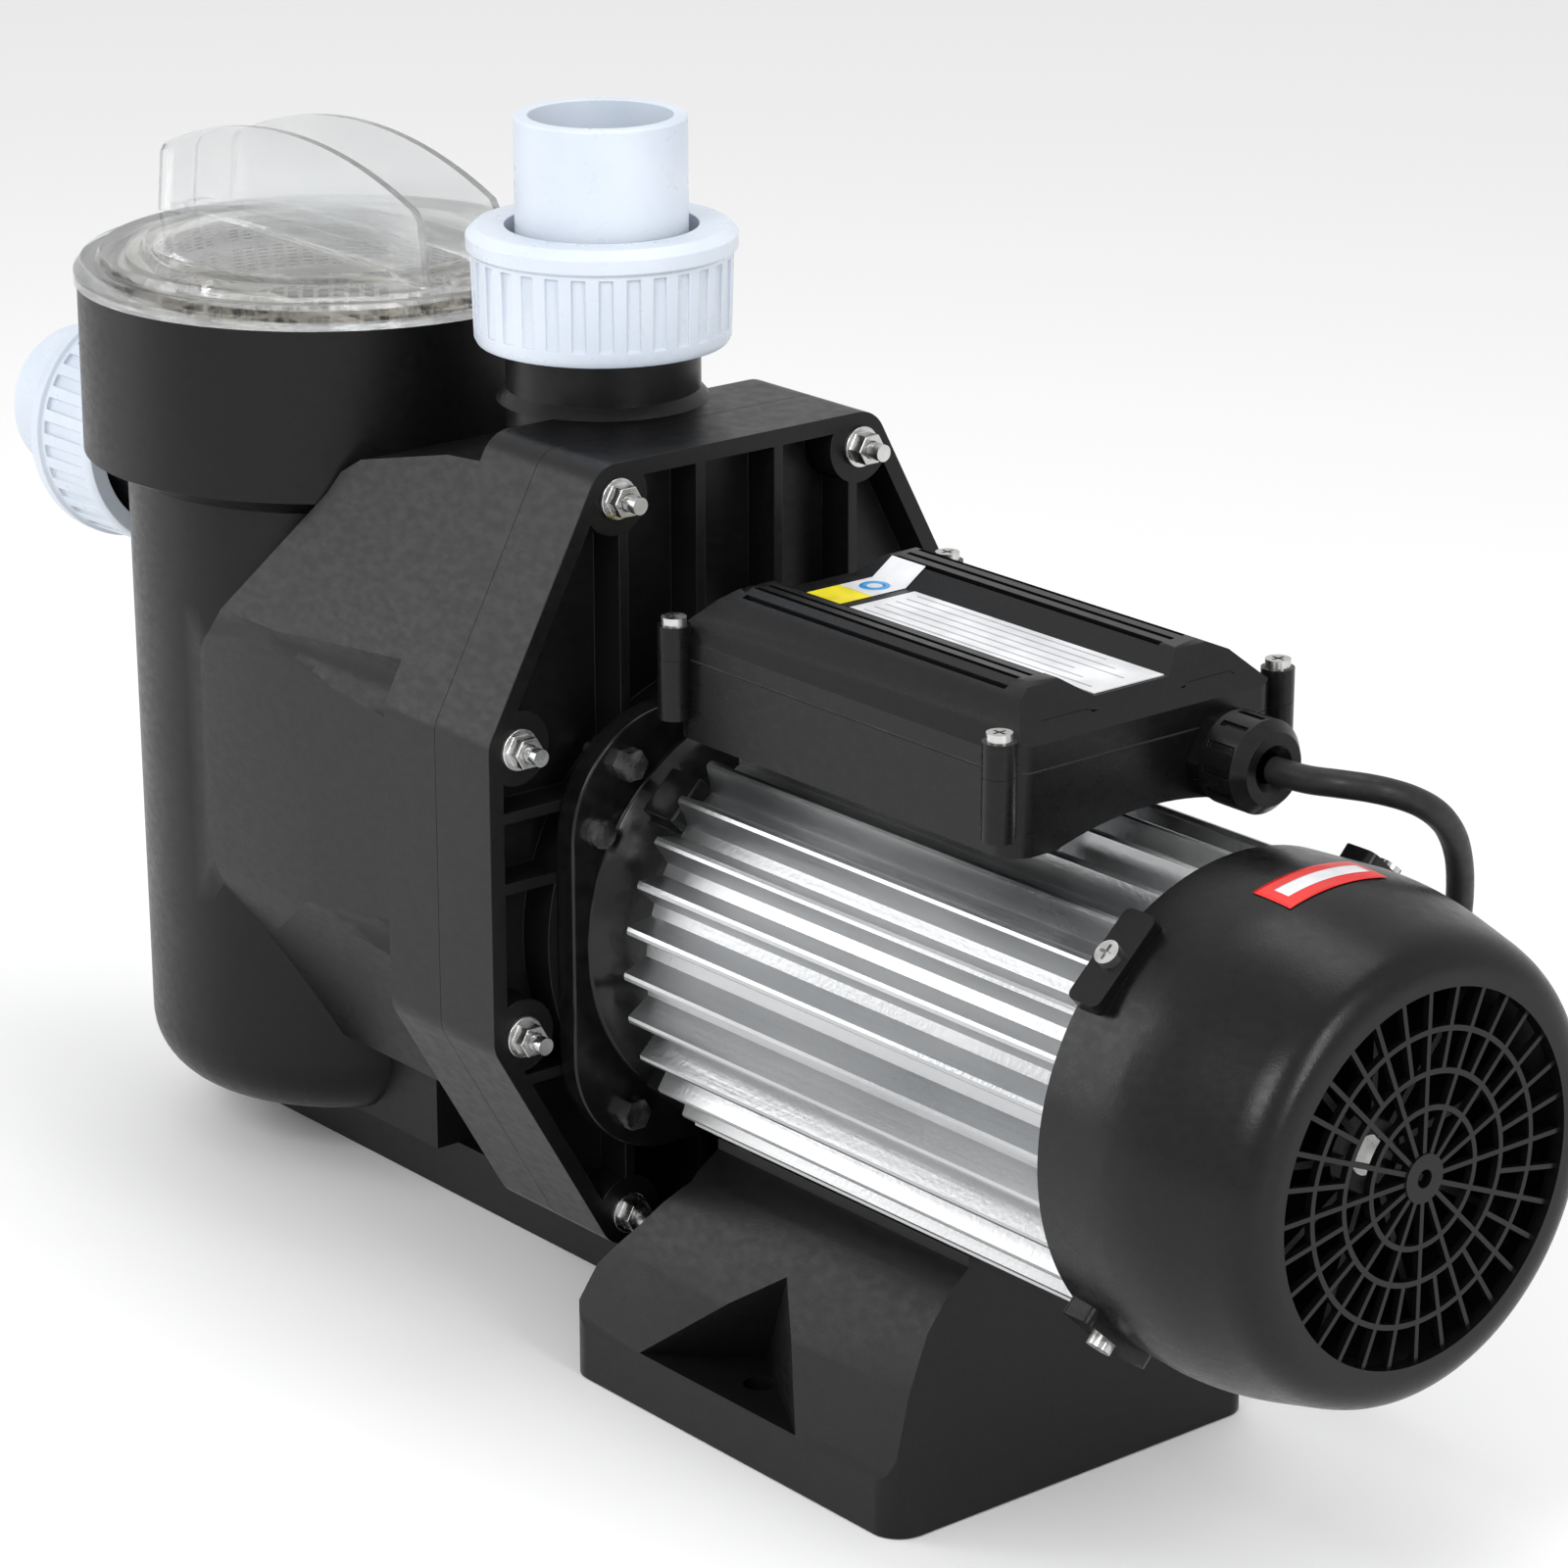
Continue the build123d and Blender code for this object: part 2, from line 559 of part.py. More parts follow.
def arch_x(extra):
    """Solid under the box's arched floor."""
    return cyl_x(BOX_X0 - 10, BOX_X1 + 10, ARCH_R + extra, 0, ARCH_TOP_Z - ARCH_R)


def terminal_box():
    """Open-topped box with an arched floor, four corner bosses and a gland hole."""
    shape = extrude(box_profile(BOX_Z0, 0), BOX_SPLIT_Z - BOX_Z0) - arch_x(0)
    for x in BOSS_X:
        for y in (-BOSS_Y, BOSS_Y):
            shape += cyl_z(x, y, BOX_Z0 + 7, BOX_SPLIT_Z + 0.7, 5.5)
    shape -= extrude(box_profile(BOX_Z0, 3.5), 60) - arch_x(3.5)
    shape += block(BOX_X0 + 12, PAD_X1, -PAD_HALF_Y, PAD_HALF_Y, ARCH_TOP_Z - 1.9, ARCH_TOP_Z + 1)
    shape -= cyl_x(BOX_X1 - 14, BOX_X1 + 2, 7.5, GLAND_Y, GLAND_Z)
    shape -= cyl_z(30, 0, BOX_Z0 - 10, ARCH_TOP_Z + 10, 12)
    for x in BOSS_X:
        for y in (-BOSS_Y, BOSS_Y):
            shape -= cyl_z(x, y, BOX_Z0 + 12, BOX_SPLIT_Z + 1, 2.2)
    return shape


def terminal_lid():
    """Lid with two ribbed humps and a valley between them."""
    z = BOX_SPLIT_Z + 0.8
    half = [(0, 278.4), (16, 278.4), (25, BOX_TOP_Z - 0.5), (36, BOX_TOP_Z), (45, 281), (52, 273),
            (BOX_HALF_Y, z + 6), (BOX_HALF_Y, z)]
    outline = half + [(-y, h) for y, h in reversed(half[1:])]
    shape = prism_x(outline, BOX_X0, BOX_X1)
    shape &= extrude(box_profile(BOX_SPLIT_Z, 0), 60)
    shape &= outline_y([(BOX_X0, z - 1), (BOX_X0, z + 8), (BOX_X0 + 4, 275), (BOX_X0 + 13, 284), (BOX_X0 + 18, 286),
                        (BOX_X1 - 20, 286), (BOX_X1 - 15, 284), (BOX_X1 - 5, 275), (BOX_X1, z + 8),
                        (BOX_X1, z - 1)], 70)
    for side in (-1, 1):
        for i in range(4):
            shape -= block(BOX_X0 + 18, BOX_X1 - 22, side * (25 + 5.2 * i) - 1, side * (25 + 5.2 * i) + 1,
                           BOX_TOP_Z - 2.6 - 0.8 * (i == 3), 300)
    for x in BOSS_X:
        for y in (-BOSS_Y, BOSS_Y):
            shape += cyl_z(x, y, z, BOSS_TOP_Z, 5.5)
    inner = [(y * 0.9, min(h - 4, 276)) for y, h in half[:-2]] + [(BOX_HALF_Y - 4, z + 4), (BOX_HALF_Y - 4, z - 1)]
    cavity = prism_x(inner + [(-y, h) for y, h in reversed(inner)], BOX_X0 + 5, BOX_X1 - 5)
    shape -= cavity
    for x in BOSS_X:
        for y in (-BOSS_Y, BOSS_Y):
            shape -= cyl_z(x, y, z - 1, BOSS_TOP_Z + 1, 2.4)
    return shape


def box_gasket():
    """Flat gasket between box and lid."""
    gasket = extrude(box_profile(BOX_SPLIT_Z, 0.3) - box_profile(BOX_SPLIT_Z, 3.2), 0.8)
    for x in BOSS_X:
        for y in (-BOSS_Y, BOSS_Y):
            gasket -= cyl_z(x, y, BOX_SPLIT_Z - 1, BOX_SPLIT_Z + 1.5, 5.6)
    return gasket


def box_screws():
    """Four lid screws."""
    screws = []
    for x in BOSS_X:
        for y in (-BOSS_Y, BOSS_Y):
            screw = cyl_z(x, y, BOSS_TOP_Z, BOSS_TOP_Z + 2.8, 4.2) + cyl_z(x, y, 250, BOSS_TOP_Z + 1, 2.0)
            screws.append(screw - Pos(x, y, BOSS_TOP_Z + 2.4) * (Box(5, 1, 1.6) + Box(1, 5, 1.6)))
    return group(screws)


def gland_body():
    """Cable gland body with its hexagon."""
    shape = hex_x(BOX_X1, BOX_X1 + 6, 26, GLAND_Y, GLAND_Z) + cyl_x(BOX_X1 - 12, BOX_X1 + 1, 7.4, GLAND_Y, GLAND_Z)
    return shape - cyl_x(BOX_X1 - 20, BOX_X1 + 20, CORD_R + 0.1, GLAND_Y, GLAND_Z)


def gland_nut():
    """Ribbed gland nut."""
    shape = spin_x([(BOX_X1 + 6, 5.2), (BOX_X1 + 6, GLAND_R), (GLAND_FACE_X - 4, GLAND_R), (GLAND_FACE_X, 12),
                    (GLAND_FACE_X, 8), (GLAND_FACE_X - 3, 5.2)], GLAND_Y, GLAND_Z)
    for i in range(12):
        groove = block(BOX_X1 + 8, GLAND_FACE_X - 5, -1.2, 1.2, GLAND_R - 1.2, GLAND_R + 2)
        shape -= Pos(0, GLAND_Y, GLAND_Z) * Rot(30 * i, 0, 0) * groove
    return shape


# ---------------------------------------------------------------- cord

CORD_ROUTE = [
    (138.5, 31, 252.5), (150, 31, 252.5), (163, 34, 253.8), (173.3, 42.5, 252.7), (178.5, 55, 247.5),
    (178, 67.5, 238.5), (174, 78.5, 225.5), (168.5, 86.5, 208), (161.5, 92, 186), (152.5, 97, 164),
    (140.5, 101, 136), (126, 105, 108), (108, 109, 80), (86, 113, 53), (60, 117, 29), (28, 121.5, 11),
    (-8, 125, 4.9), (-45, 127, 4.8), (-88, 126.1, 4.9), (-130, 126.5, 4.7),
]
LEAD_ROUTE = [(-170, 126.5, 13.7), (-186, 127, 12.6), (-203, 126.2, 9.8), (-220, 127, 8.6)]
COIL_X = -150.0
PLUG_X = -220.0
PLUG_Y = 127.0
PLUG_Z = 8.6


def cord_tube(route):
    """Round tube along straight runs joined by tangent arcs."""
    points = [Vector(*p) for p in route]
    radii = []
    for before, corner, after in zip(points, points[1:], points[2:]):
        run_in = corner - before
        run_out = after - corner
        half_turn = math.radians(run_in.get_angle(run_out)) / 2
        radii.append(0.45 * min(run_in.length, run_out.length) / math.tan(half_turn))
    print("cord radii", [round(r) for r in radii])
    path = FilletPolyline(*points, radius=radii)
    section = Plane(path @ 0, z_dir=path % 0) * Circle(CORD_R)
    tube = sweep(section, path)
    print("cord length", round(path.length), "volume ratio", tube.volume / (math.pi * CORD_R ** 2 * path.length))
    return tube


def power_cord():
    """Cord from the gland to the coil, and from the coil to the plug."""
    return group([cord_tube(CORD_ROUTE), cord_tube(LEAD_ROUTE)])


def cord_coil():
    """Outer shape of the stored turns."""
    half_width = COIL_ROWS * CORD_R
    height = COIL_LAYERS * 2 * CORD_R
    ring = cyl_z(COIL_X, COIL_Y, 0.1, height + 0.1, COIL_R + half_width)
    return ring - cyl_z(COIL_X, COIL_Y, -1, height + 1, COIL_R - half_width)


def cord_tie():
    """Hook-and-loop tie around the coil."""
    x, z1 = COIL_X + COIL_R, 4 * CORD_R + 0.1
    outer = block(x - 16.2, x + 16.2, COIL_Y - 8, COIL_Y + 8, 0.0, z1 + 1.6)
    return outer - block(x - 14.7, x + 14.7, COIL_Y - 9, COIL_Y + 9, -1, z1 + 0.1)


def plug_body():
    """Moulded mains plug."""
    body = block(PLUG_X - 38, PLUG_X - 14, PLUG_Y - 13, PLUG_Y + 13, 0.2, 17.0)
    body = fillet(body.edges().filter_by(Axis.X), 5)
    relief = Pos(PLUG_X - 7, PLUG_Y, PLUG_Z) * Rot(0, 90, 0) * Cone(7.5, 5.2, 14)
    return body + relief


def plug_pins():
    """Two round contact pins."""
    return group([cyl_x(PLUG_X - 57, PLUG_X - 38, 2.4, PLUG_Y + s * 9.5, PLUG_Z) for s in (-1, 1)])


def label_plates():
    """Blank rating plate in the lid's valley."""
    return block(BOX_X0 + 39, BOX_X1 - 10, -15, 15, 278.5, 278.9)


PARTS = {
    "pump_body": pump_body,
    "seal_plate": seal_plate,
    "base_foot": base_foot,
    "flange_bolts": flange_bolts,
    "flange_nuts": flange_nuts,
    "flange_oring": lambda: Pos(PARTING_X - 1.2, 0, AXIS_Z) * Rot(0, 90, 0) * Torus(63.5, 1.2),
    "diffuser": diffuser,
    "seal_seat": lambda: ring_x(PARTING_X + 8.2, PARTING_X + 17, 17.4, 10.5),
    "seal_head": lambda: ring_x(-123, PARTING_X + 8.1, 14, SHAFT_R + 0.3) - cyl_x(-124, -123.9, 1),
    "impeller": impeller,
    "impeller_screw": lambda: hex_x(-156, -150, 12, 0, AXIS_Z) + cyl_x(-150.5, -149, 5),
    "adapter_flange": front_shield,
    "adapter_bolts": lambda: group([hex_x(PLATE_FACE_X + 9, PLATE_FACE_X + 14, 10, y, AXIS_Z + z)
                                    + cyl_x(PLATE_FACE_X - 11, PLATE_FACE_X + 10, BOLT_R, y, AXIS_Z + z)
                                    for y, z in ADAPTER_BOLTS]),
    "earth_screw": lambda: cyl_x(PLATE_FACE_X + 9, PLATE_FACE_X + 12.5, 5.0, -69, 196),
    "front_bearing": lambda: bearing(SHIELD_X + 5.1, SHIELD_X + 17),
    "rear_bearing": lambda: bearing(HOUSING_X1 - 6.5, HOUSING_X1 + 5),
    "motor_shaft": shaft,
    "rotor_core": lambda: ring_x(-12, 104, 32.5, SHAFT_R),
    "stator_core": lambda: ring_x(-12, 104, STATOR_R, 33.2),
    "stator_windings": stator_windings,
    "motor_housing": motor_housing,
    "rear_shield": rear_shield,
    "cooling_fan": cooling_fan,
    "fan_cover": fan_cover,
    "fan_cover_screws": fan_cover_screws,
    "terminal_box": terminal_box,
    "terminal_gasket": box_gasket,
    "terminal_lid": terminal_lid,
    "terminal_screws": box_screws,
    "rating_plate": label_plates,
    "run_capacitor": lambda: cyl_x(-38, 20, 10, -30, 257),
    "terminal_block": lambda: block(60, 92, -30, 14, ARCH_TOP_Z + 3.6, 261),
    "gland_body": gland_body,
    "gland_nut": gland_nut,
    "power_cord": power_cord,
    "cord_coil": cord_coil,
    "cord_tie": cord_tie,
    "plug_body": plug_body,
    "plug_pins": plug_pins,
    "drain_plug": lambda: cyl_y(POT_X, 44, 62, 80, 8.2) + cyl_y(POT_X, 44, 80, 88, 13),
    "clear_lid": clear_lid,
    "lid_seal": lid_seal,
    "strainer_basket": strainer_basket,
    "basket_floor": lambda: cyl_z(POT_X, 0, 175, 177.7, 60.1),
    "basket_handle": lambda: Pos(POT_X, 0, 0) * block(-66.2, 66.2, -3, 3, 312, 317.5),
    "outlet_tail": lambda: place_outlet(union_tail()),
    "outlet_oring": lambda: place_outlet(union_ring()),
    "outlet_nut": lambda: place_outlet(union_nut()),
    "inlet_tail": lambda: place_inlet(union_tail()),
    "inlet_oring": lambda: place_inlet(union_ring()),
    "inlet_nut": lambda: place_inlet(union_nut()),
}

for node, make in PARTS.items():
    save(node, make())
    print(node)
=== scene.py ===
import json
import math

import bmesh
import bpy
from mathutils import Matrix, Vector


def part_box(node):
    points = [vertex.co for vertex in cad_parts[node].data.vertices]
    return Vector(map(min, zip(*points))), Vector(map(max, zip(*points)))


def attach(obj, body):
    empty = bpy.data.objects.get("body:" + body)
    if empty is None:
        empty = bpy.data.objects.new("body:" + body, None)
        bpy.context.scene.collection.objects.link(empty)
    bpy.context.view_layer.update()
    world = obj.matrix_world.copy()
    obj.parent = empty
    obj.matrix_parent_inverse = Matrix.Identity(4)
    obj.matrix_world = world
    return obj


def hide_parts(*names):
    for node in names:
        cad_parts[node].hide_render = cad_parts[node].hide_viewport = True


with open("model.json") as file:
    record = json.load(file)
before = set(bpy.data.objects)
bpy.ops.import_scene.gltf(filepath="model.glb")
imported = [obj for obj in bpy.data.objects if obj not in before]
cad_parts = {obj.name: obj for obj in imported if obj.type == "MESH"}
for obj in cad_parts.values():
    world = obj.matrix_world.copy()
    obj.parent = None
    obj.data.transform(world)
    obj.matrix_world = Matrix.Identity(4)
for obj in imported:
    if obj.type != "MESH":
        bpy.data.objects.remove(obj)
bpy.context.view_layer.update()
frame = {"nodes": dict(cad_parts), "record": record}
NODES = frame["nodes"]
MM = 0.001


# ---------------------------------------------------------------- camera, floor and light

CAM_AZIMUTH = math.radians(50.35)
CAM_ELEVATION = math.radians(18.65)
CAM_TARGET = Vector((-64.5, 0.2, 201.8)) * MM
CAM_DISTANCE = 1.7487
CAM_LENS = 117.7


def add_camera():
    """Three-quarter view from the fan end, on a long lens."""
    data = bpy.data.cameras.new("camera")
    data.lens = CAM_LENS
    data.sensor_width = 36
    camera = bpy.data.objects.new("camera", data)
    bpy.context.scene.collection.objects.link(camera)
    flat = math.cos(CAM_ELEVATION)
    back = Vector((math.sin(CAM_AZIMUTH) * flat, -math.cos(CAM_AZIMUTH) * flat, math.sin(CAM_ELEVATION)))
    camera.location = CAM_TARGET + back * CAM_DISTANCE
    camera.rotation_euler = back.to_track_quat("Z", "Y").to_euler()
    bpy.context.scene.camera = camera


def add_light(name, place, size, power, aim=(-0.1, 0, 0.15)):
    """Rectangular soft light that faces the object."""
    data = bpy.data.lights.new(name, "AREA")
    data.shape = "RECTANGLE"
    data.size, data.size_y = size
    data.energy = power
    light = bpy.data.objects.new(name, data)
    bpy.context.scene.collection.objects.link(light)
    light.location = place
    light.rotation_euler = (Vector(place) - Vector(aim)).to_track_quat("Z", "Y").to_euler()


def add_stage():
    """Pale floor, soft sky and four lights."""
    bpy.ops.mesh.primitive_plane_add(size=14, location=(0, 0, -0.0005))
    floor = bpy.context.object
    floor.name = "floor"
    floor.data.materials.append(material("floor", (0.9, 0.9, 0.9), 0.6))
    world = bpy.data.worlds.new("studio")
    world.use_nodes = True
    world.node_tree.nodes["Background"].inputs["Color"].default_value = (1, 1, 1, 1)
    world.node_tree.nodes["Background"].inputs["Strength"].default_value = 0.85
    bpy.context.scene.world = world
    bpy.context.scene.view_settings.view_transform = "Standard"
    add_light("key", (0.5, -1.5, 1.3), (0.7, 0.7), 13)
    add_light("side", (-1.5, -1.2, 0.8), (0.5, 1.4), 8)
    add_light("fan_side", (1.7, -0.1, 0.9), (0.35, 1.0), 11)
    add_light("top", (-0.1, 0.3, 1.8), (1.4, 0.6), 7)


# ---------------------------------------------------------------- materials

def material(name, colour, roughness, metallic=0.0, **extra):
    """New material with its constants on the shader's own sockets."""
    mat = bpy.data.materials.new(name)
    mat.use_nodes = True
    shader = mat.node_tree.nodes["Principled BSDF"]
    shader.inputs["Base Color"].default_value = (*colour, 1)
    shader.inputs["Roughness"].default_value = roughness
    shader.inputs["Metallic"].default_value = metallic
    for socket, value in extra.items():
        shader.inputs[socket.replace("_", " ")].default_value = value
    return mat


def noise(mat, scale, detail=3.0, stretch=(1, 1, 1)):
    """Noise over the object's own coordinates, in turns per metre."""
    tree = mat.node_tree
    coords = tree.nodes.new("ShaderNodeTexCoord")
    mapping = tree.nodes.new("ShaderNodeMapping")
    mapping.inputs["Scale"].default_value = stretch
    texture = tree.nodes.new("ShaderNodeTexNoise")
    texture.inputs["Scale"].default_value = scale
    texture.inputs["Detail"].default_value = detail
    tree.links.new(coords.outputs["Object"], mapping.inputs["Vector"])
    tree.links.new(mapping.outputs["Vector"], texture.inputs["Vector"])
    return texture.outputs["Fac"]


def spread(mat, source, low, high, start=0.35, end=0.65):
    """The source mapped from start..end to low..high."""
    node = mat.node_tree.nodes.new("ShaderNodeMapRange")
    node.inputs["From Min"].default_value = start
    node.inputs["From Max"].default_value = end
    node.inputs["To Min"].default_value = low
    node.inputs["To Max"].default_value = high
    mat.node_tree.links.new(source, node.inputs["Value"])
    return node.outputs["Result"]


def blend_colour(mat, factor, dark, light):
    """Base colour between two tones."""
    tree = mat.node_tree
    mix = tree.nodes.new("ShaderNodeMix")
    mix.data_type = "RGBA"
    mix.inputs["A"].default_value = (*dark, 1)
    mix.inputs["B"].default_value = (*light, 1)
    tree.links.new(factor, mix.inputs["Factor"])
    tree.links.new(mix.outputs["Result"], tree.nodes["Principled BSDF"].inputs["Base Color"])


def vary_roughness(mat, source, low, high):
    """Roughness that follows a pattern."""
    result = spread(mat, source, low, high)
    mat.node_tree.links.new(result, mat.node_tree.nodes["Principled BSDF"].inputs["Roughness"])


def bump(mat, source, height, strength=1.0):
    """Surface relief from a pattern, height in metres."""
    tree = mat.node_tree
    shader = tree.nodes["Principled BSDF"]
    node = tree.nodes.new("ShaderNodeBump")
    node.inputs["Distance"].default_value = height
    node.inputs["Strength"].default_value = strength
    if shader.inputs["Normal"].is_linked:
        tree.links.new(shader.inputs["Normal"].links[0].from_socket, node.inputs["Normal"])
    tree.links.new(source, node.inputs["Height"])
    tree.links.new(node.outputs["Normal"], shader.inputs["Normal"])


def moulded(name, dark, light, rough_low, rough_high):
    """Moulded plastic: fine grain, soft flow marks and light handling scuffs."""
    mat = material(name, dark, rough_low, Specular_IOR_Level=0.24)
    flow = noise(mat, 320, 4)
    scuff = noise(mat, 190, 5, (1, 1, 2))
    blend_colour(mat, spread(mat, flow, 0, 1, 0.2, 0.85), dark, light)
    vary_roughness(mat, scuff, rough_low, rough_high)
    bump(mat, noise(mat, 1100, 2), 0.00006, 0.6)
    return mat


def extruded_aluminium():
    """Bare extrusion: die lines along X, cast-like speckle and dull patches."""
    mat = material("aluminium", (0.78, 0.78, 0.79), 0.34, 1.0)
    lines = noise(mat, 420, 3, (0.015, 1, 1))
    speckle = noise(mat, 520, 2)
    patches = noise(mat, 22, 4, (0.4, 1, 1))
    blend_colour(mat, spread(mat, patches, 0, 1), (0.46, 0.47, 0.48), (0.58, 0.585, 0.59))
    vary_roughness(mat, patches, 0.26, 0.40)
    bump(mat, lines, 0.00014, 0.6)
    bump(mat, speckle, 0.00012, 0.7)
    return mat


def bright_steel():
    """Zinc-plated steel with brush marks and dull spots."""
    tone = (0.66, 0.66, 0.65)
    mat = material("steel", tone, 0.24, 1.0)
    marks = noise(mat, 900, 3, (1, 1, 0.2))
    stain = noise(mat, 130, 4)
    blend_colour(mat, spread(mat, stain, 0, 1), tuple(0.72 * c for c in tone), tone)
    vary_roughness(mat, stain, 0.16, 0.38)
    bump(mat, marks, 0.00003, 0.6)
    return mat


def white_pvc():
    """Bluish white PVC with faint gate marks."""
    mat = material("white_pvc", (0.56, 0.62, 0.7), 0.32)
    cloud = noise(mat, 18, 3)
    blend_colour(mat, spread(mat, cloud, 0, 1), (0.52, 0.58, 0.66), (0.60, 0.65, 0.72))
    vary_roughness(mat, noise(mat, 90, 4), 0.26, 0.42)
    bump(mat, noise(mat, 700, 2), 0.00003, 0.4)
    shader = mat.node_tree.nodes["Principled BSDF"]
    shader.inputs["Subsurface Weight"].default_value = 0.12
    shader.inputs["Subsurface Radius"].default_value = (0.004, 0.005, 0.006)
    return mat


def clear_plastic():
    """Clear moulded polycarbonate, clearest face on, with faint ripples."""
    mat = material("clear_plastic", (0.96, 0.98, 1.0), 0.03, IOR=1.42, Transmission_Weight=1.0)
    blend_colour(mat, spread(mat, noise(mat, 25, 2), 0, 1), (0.90, 0.93, 0.95), (0.97, 0.99, 1))
    vary_roughness(mat, noise(mat, 150, 3), 0.02, 0.07)
    bump(mat, noise(mat, 60, 2), 0.0003, 0.15)
    tree = mat.node_tree
    rim = tree.nodes.new("ShaderNodeLayerWeight")
    rim.inputs["Blend"].default_value = 0.4
    opacity = spread(mat, rim.outputs["Facing"], 0.35, 0.9, 0.0, 0.8)
    tree.links.new(opacity, tree.nodes["Principled BSDF"].inputs["Alpha"])
    return mat


def satin_paint():
    """Black painted casting with orange peel."""
    mat = material("adapter_paint", (0.005, 0.005, 0.0055), 0.2, Specular_IOR_Level=0.3)
    mottle = spread(mat, noise(mat, 200, 4), 0, 1)
    blend_colour(mat, mottle, (0.004, 0.004, 0.0045), (0.007, 0.007, 0.0075))
    vary_roughness(mat, noise(mat, 150, 5), 0.17, 0.25)
    bump(mat, noise(mat, 500, 2), 0.00008, 0.35)
    return mat


def plain_with_grain(name, tone, roughness, metallic=0.0, scale=300):
    """Small hidden or secondary surfaces: tone change and fine grain."""
    mat = material(name, tone, roughness, metallic)
    blend_colour(mat, spread(mat, noise(mat, scale / 6, 3), 0, 1), tuple(0.75 * c for c in tone), tone)
    vary_roughness(mat, noise(mat, scale / 3, 3), roughness * 0.8, min(1, roughness * 1.25))
    bump(mat, noise(mat, scale, 2), 0.00008, 0.4)
    return mat


MATERIALS = {
    "body_plastic": moulded("body_plastic", (0.003, 0.003, 0.0033), (0.0055, 0.0055, 0.006), 0.32, 0.40),
    "cover_plastic": moulded("cover_plastic", (0.003, 0.003, 0.0033), (0.005, 0.005, 0.0055), 0.26, 0.33),
    "box_plastic": moulded("box_plastic", (0.003, 0.003, 0.0033), (0.005, 0.005, 0.0055), 0.26, 0.33),
    "impeller_plastic": moulded("impeller_plastic", (0.03, 0.03, 0.03), (0.05, 0.05, 0.05), 0.45, 0.6),
    "basket_plastic": moulded("basket_plastic", (0.62, 0.58, 0.50), (0.72, 0.69, 0.62), 0.4, 0.55),
    "cord_rubber": moulded("cord_rubber", (0.010, 0.010, 0.010), (0.02, 0.02, 0.02), 0.34, 0.5),
    "aluminium": extruded_aluminium(),
    "steel": bright_steel(),
    "white_pvc": white_pvc(),
    "clear_plastic": clear_plastic(),
    "adapter_paint": satin_paint(),
    "rubber": plain_with_grain("rubber", (0.015, 0.015, 0.015), 0.6),
    "ceramic": plain_with_grain("ceramic", (0.82, 0.80, 0.76), 0.25),
    "laminated_steel": plain_with_grain("laminated_steel", (0.30, 0.30, 0.31), 0.45, 0.9, 1200),
    "copper": plain_with_grain("copper", (0.62, 0.27, 0.12), 0.35, 0.9, 900),
    "brass": plain_with_grain("brass", (0.72, 0.56, 0.26), 0.25, 1.0),
    "label": plain_with_grain("label", (0.74, 0.75, 0.77), 0.35),
    "capacitor_shell": plain_with_grain("capacitor_shell", (0.75, 0.75, 0.72), 0.4),
}


def dress_nodes():
    """Give every CAD node its material, by the record's slots."""
    for entry in frame["record"]["subparts"]:
        node = NODES[entry["node"]]
        node.data.materials.clear()
        node.data.materials.append(MATERIALS[entry["material_slot"]])


# ---------------------------------------------------------------- helpers for pieces

def new_object(name, bm, mat, body, smooth=True):
    """Mesh object from a bmesh, riding on a body."""
    mesh = bpy.data.meshes.new(name)
    bm.normal_update()
    bm.to_mesh(mesh)
    bm.free()
    if smooth:
        mesh.shade_smooth()
    obj = bpy.data.objects.new(name, mesh)
    bpy.context.scene.collection.objects.link(obj)
    mesh.materials.append(mat)
    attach(obj, body)
    return obj


SHARP_ANGLE = math.radians(32)


def bevel(obj, width):
    """Rounded edges with smooth shading between them."""
    obj.modifiers.new("join", "WELD").merge_threshold = 0.00002
    mod = obj.modifiers.new("round", "BEVEL")
    mod.width = width
    mod.segments = 3
    mod.limit_method = "ANGLE"
    mod.angle_limit = SHARP_ANGLE
    mod.use_clamp_overlap = True
    mod.loop_slide = False
    shade = obj.modifiers.new("shade", "WEIGHTED_NORMAL")
    shade.weight = 80


def grid_faces(bm, rows):
    """Quads between rows of points; each row closes on itself."""
    rings = [[bm.verts.new(p) for p in row] for row in rows]
    faces = []
    for low, high in zip(rings, rings[1:]):
        count = len(low)
        for i in range(count):
            j = (i + 1) % count
            faces.append(bm.faces.new((low[i], low[j], high[j], high[i])))
    return faces


def turned_rows(profile, centre, count):
    """Rows of points for (radius, height) pairs in millimetres, turned about a vertical axis."""
    rows = []
    for radius, height in profile:
        row = []
        for i in range(count):
            angle = 2 * math.pi * i / count
            point = Vector((radius * math.cos(angle), radius * math.sin(angle), height))
            row.append((point + Vector(centre)) * MM)
        rows.append(row)
    return rows


def turned(bm, profile, centre, count):
    """Ring-shaped solid from a (radius, height) outline."""
    grid_faces(bm, turned_rows(profile + profile[:1], centre, count))


# ---------------------------------------------------------------- strainer basket

# Heights and radii in millimetres.
BASKET_HOLES = 72
BASKET_LEVELS = 27
BASKET_LOW_R = 58.5
BASKET_RIM_LIP = 8.5
BASKET_FLOOR_THICK = 1.5
BASKET_FLOOR_RINGS = 12
BAND_EVERY = 9
RIB_EVERY = 12


